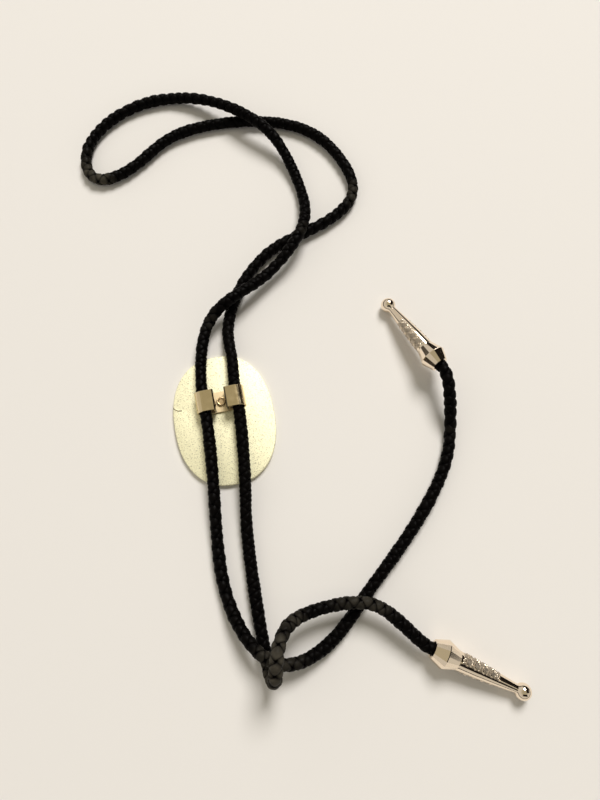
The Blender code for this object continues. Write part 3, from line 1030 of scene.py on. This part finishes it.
class BOLO_OT_bend_clip(Operator):
    """Bends the clip's sheet round both runs of the cord"""

    bl_idname = "bolo.bend_clip"
    bl_label = "Bend the Clip"

    def execute(self, context):
        settings = context.scene.bolo_slide
        low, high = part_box("slide_clip")
        right = half_sheet_line(low, high)
        left = [(-x, z) for x, z in reversed(right[1:])]
        bm = bmesh.new()
        outline = sheet_outline(left + right, SHEET)
        face = bm.faces.new([bm.verts.new((x, low.y, z)) for x, z in outline])
        swept = bmesh.ops.extrude_face_region(bm, geom=[face])["geom"]
        far = [item for item in swept if isinstance(item, bmesh.types.BMVert)]
        bmesh.ops.translate(bm, verts=far, vec=(0.0, high.y - low.y, 0.0))
        rims = [e for e in bm.edges if abs(e.verts[0].co.y - e.verts[1].co.y) < SAME_POINT]
        rounded(bm, rims, settings.sheet_round, SHEET_ROUND_STEPS)
        obj = mesh_object("bent_clip", mesh_from("bent_clip", bm), brushed_gold(settings))
        cut(obj, drill("hole", SHANK_HOLE, 0.0, low.z + 2 * SHEET, 0.0, (low.y + high.y) / 2))
        obj.data.shade_smooth()
        obj.data.set_sharp_from_angle(angle=CREASE_ANGLE)
        points = positions(obj.data)
        on_base = points[:, 2] < low.z + SHEET + SAME_POINT
        keep_values(obj.data, "matt", on_base * 1.0)
        # The curls' inner folds, where the gap under each flap lies in shade, get painted shade
        inner = CLIP_MIDDLE_GAP / 2 + CURL_INNER_BEND * PAINTED_SHADE_BENDS
        folded = (np.abs(points[:, 0]) < inner) & (points[:, 2] > low.z + SHEET + CURL_SLIT)
        keep_values(obj.data, "painted_shade", folded * 1.0)
        dress(obj, "bright_gold", "slide_clip")
        return {"FINISHED"}


class BOLO_OT_set_eyelet(Operator):
    """Sets the tubular rivet that holds the clip on the plate"""

    bl_idname = "bolo.set_eyelet"
    bl_label = "Set the Eyelet"

    def execute(self, context):
        low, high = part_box("clip_rivet")
        clip_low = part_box("slide_clip")[0]
        under = clip_low.z + SHEET + SEAT_GAP
        head = (high.x - low.x) / 2
        brim = high.z - HEAD_RISE
        profile = [(0.0, low.z), (SHANK_RADIUS, low.z), (SHANK_RADIUS, under), (head, under)]
        for turn in np.linspace(0, math.pi, EYELET_STEPS + 1):
            radius = (head + DIMPLE_RADIUS) / 2 + (head - DIMPLE_RADIUS) / 2 * math.cos(turn)
            profile.append((radius, brim + HEAD_RISE * math.sin(turn)))
        profile.append((DIMPLE_RADIUS - DIMPLE_DEPTH, brim - DIMPLE_DEPTH))
        profile.append((0.0, brim - DIMPLE_DEPTH))
        bm = bmesh.new()
        turned(bm, profile, EYELET_SIDES)
        mesh = mesh_from("eyelet", bm)
        material = bpy.data.materials.get("bright_gold") or brushed_gold(context.scene.bolo_slide)
        points = positions(mesh)
        off_centre = np.hypot(points[:, 0], points[:, 1]) > SHANK_RADIUS - SAME_POINT
        # Painted shade round the eyelet's rim, where it sits on the clip
        keep_values(mesh, "painted_shade", off_centre & (points[:, 2] < brim + HEAD_RISE / 3))
        points[:, 1] += (low.y + high.y) / 2
        place(mesh, points)
        obj = mesh_object("eyelet", mesh, material)
        dress(obj, "bright_gold", "clip_rivet")
        return {"FINISHED"}


class BOLO_OT_grain_plate(Operator):
    """Casts the oval plate with a soft rim, a nick, a scratch and a grained back"""

    bl_idname = "bolo.grain_plate"
    bl_label = "Grain the Plate"

    def execute(self, context):
        settings = context.scene.bolo_slide
        low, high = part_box("slide_plate")
        bm = bmesh.new()
        ring = bmesh.ops.create_circle(bm, cap_ends=True, segments=PLATE_SIDES, radius=1.0)
        power = 2 / PLATE_SQUARENESS
        for vert in ring["verts"]:
            x, y, _ = vert.co
            vert.co = (softened(x, power) * high.x, softened(y, power) * high.y, low.z)
        front = list(bm.edges)
        raised = bmesh.ops.extrude_face_region(bm, geom=list(bm.faces))["geom"]
        back = [item for item in raised if isinstance(item, bmesh.types.BMVert)]
        rim = [item for item in raised if isinstance(item, bmesh.types.BMEdge)]
        bmesh.ops.translate(bm, verts=back, vec=(0.0, 0.0, high.z - low.z))
        for edges, offset in ((front, settings.front_round), (rim, settings.rim_round)):
            rounded(bm, [edge for edge in edges if edge.is_valid], offset, PLATE_ROUND_STEPS)
        material = grained_gold(settings, shared_speckle())
        obj = mesh_object("grained_plate", mesh_from("grained_plate", bm), material)
        clip_low, clip_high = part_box("slide_clip")
        rivet_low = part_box("clip_rivet")[0]
        centre_y = (clip_low.y + clip_high.y) / 2
        cut(obj, drill("seat", SHANK_HOLE, rivet_low.z - SEAT_GAP, 2 * high.z, 0.0, centre_y))
        cut(obj, drill("nick", NICK_RADIUS, -high.z, 2 * high.z, low.x, NICK_Y))
        cut(obj, scratch_rod("scratch", high.z))
        # The bottom of the scratch gets painted shade
        keep_values(obj.data, "scratch_shade", scratch_share(positions(obj.data), high.z))
        obj.data.shade_smooth()
        obj.data.set_sharp_from_angle(angle=SHARP_ANGLE)
        dress(obj, "grained_gold", "slide_plate")
        return {"FINISHED"}


# The stage


def area_light(name, place_at, target, power, size, colour):
    light = bpy.data.lights.new(name, "AREA")
    light.shape = "DISK"
    light.size = size
    light.energy = power
    light.color = colour
    obj = bpy.data.objects.new(name, light)
    obj.location = place_at
    towards = Vector(target) - Vector(place_at)
    obj.rotation_euler = towards.to_track_quat("-Z", "Y").to_euler()
    bpy.context.scene.collection.objects.link(obj)


def room_light(strength):
    """A room for the metal to mirror: a dim horizon, pale walls, an olive ceiling and a few
    dark figures."""
    world = bpy.data.worlds.new("room")
    world.use_nodes = True
    tree = world.node_tree
    way = add_node(tree, "ShaderNodeTexCoord").outputs["Generated"]
    height = add_node(tree, "ShaderNodeSeparateXYZ", {0: way}).outputs["Z"]
    ramp = add_node(tree, "ShaderNodeValToRGB", {"Fac": height})
    while len(ramp.color_ramp.elements) < len(ROOM_BANDS):
        ramp.color_ramp.elements.new(0.5)
    for element, (at, colour) in zip(ramp.color_ramp.elements, ROOM_BANDS):
        element.position = at
        element.color = (*colour, 1.0)
    shade = ramp.outputs["Color"]

    def within(axis, reach):
        """1 for the ways whose share along the axis is in reach."""
        share = add_node(tree, "ShaderNodeVectorMath", {0: way, 1: axis}, operation="DOT_PRODUCT")
        middle, half = (reach[0] + reach[1]) / 2, (reach[1] - reach[0]) / 2
        return add_node(
            tree,
            "ShaderNodeMath",
            {0: share.outputs["Value"], 1: middle, 2: half},
            operation="COMPARE",
        ).outputs[0]

    for axis, reach, side, reach_aside in ROOM_FIGURES:
        figure = product(tree, within(axis, reach), within(side, reach_aside))
        shade = mixed(tree, figure, shade, shaded(FIGURE_COLOUR))
    background = tree.nodes["Background"]
    tree.links.new(shade, background.inputs["Color"])
    background.inputs["Strength"].default_value = strength
    bpy.context.scene.world = world


class BOLO_OT_lay_stage(Operator):
    """Lays the pale floor, hangs the light and sets the camera at the photograph's angle"""

    bl_idname = "bolo.lay_stage"
    bl_label = "Lay the Stage"

    def execute(self, context):
        settings = context.scene.bolo_stage
        bm = bmesh.new()
        bmesh.ops.create_grid(bm, x_segments=1, y_segments=1, size=settings.floor_size / 2)
        bmesh.ops.translate(bm, verts=bm.verts, vec=(0.0, 0.0, -FLOOR_DROP))
        material, _, _ = material_with(
            "pale_floor", Base_Color=(*settings.floor_colour, 1.0), Roughness=0.9
        )
        floor = mesh_object("floor", mesh_from("floor", bm), material)
        key = Vector(TOWARDS_KEY) * math.sin(KEY_TILT) + Vector((0.0, 0.0, math.cos(KEY_TILT)))
        area_light(
            "key_light",
            key * KEY_DISTANCE,
            CAMERA_TARGET,
            settings.key_power,
            settings.key_size,
            KEY_COLOUR,
        )
        room_light(settings.fill_strength)
        camera_data = bpy.data.cameras.new("camera")
        camera_data.sensor_fit = "VERTICAL"
        camera_data.sensor_height = SENSOR_HEIGHT
        camera_data.lens = SENSOR_HEIGHT * FOCAL_PIXELS / PICTURE_HEIGHT
        camera_data.clip_start = NEAREST_SEEN
        camera = bpy.data.objects.new("camera", camera_data)
        place_at = Vector(CAMERA_PLACE)
        back = (place_at - Vector(CAMERA_TARGET)).normalized()
        right = Vector(PICTURE_UP).cross(back).normalized()
        axes = Matrix((right, back.cross(right), back)).transposed()
        camera.matrix_world = Matrix.Translation(place_at) @ axes.to_4x4()
        context.scene.collection.objects.link(camera)
        context.scene.camera = camera
        context.scene.view_settings.view_transform = "Standard"
        return {"FINISHED"}


class BOLO_PT_looks(Panel):
    """Lists the pieces in the order in which they are made"""

    bl_idname = "BOLO_PT_looks"
    bl_label = "Bolo Tie"
    bl_space_type = "VIEW_3D"
    bl_region_type = "UI"
    bl_category = "Bolo Tie"

    def draw(self, context):
        for operator in OPERATORS:
            self.layout.operator(operator.bl_idname)


SETTINGS = {
    "bolo_cord": CordSettings,
    "bolo_tip": TipSettings,
    "bolo_slide": SlideSettings,
    "bolo_stage": StageSettings,
}
OPERATORS = (
    BOLO_OT_lay_stage,
    BOLO_OT_cast_tips,
    BOLO_OT_braid_cord,
    BOLO_OT_bend_clip,
    BOLO_OT_set_eyelet,
    BOLO_OT_grain_plate,
)


def register():
    for name, group in SETTINGS.items():
        bpy.utils.register_class(group)
        setattr(bpy.types.Scene, name, PointerProperty(type=group))
    for operator in (*OPERATORS, BOLO_PT_looks):
        bpy.utils.register_class(operator)


def unregister():
    for operator in reversed((*OPERATORS, BOLO_PT_looks)):
        bpy.utils.unregister_class(operator)
    for name, group in SETTINGS.items():
        delattr(bpy.types.Scene, name)
        bpy.utils.unregister_class(group)


def main():
    register()
    bpy.ops.bolo.lay_stage()
    bpy.ops.bolo.cast_tips()
    bpy.ops.bolo.braid_cord()
    bpy.ops.bolo.bend_clip()
    bpy.ops.bolo.set_eyelet()
    bpy.ops.bolo.grain_plate()


if __name__ == "__main__":
    main()
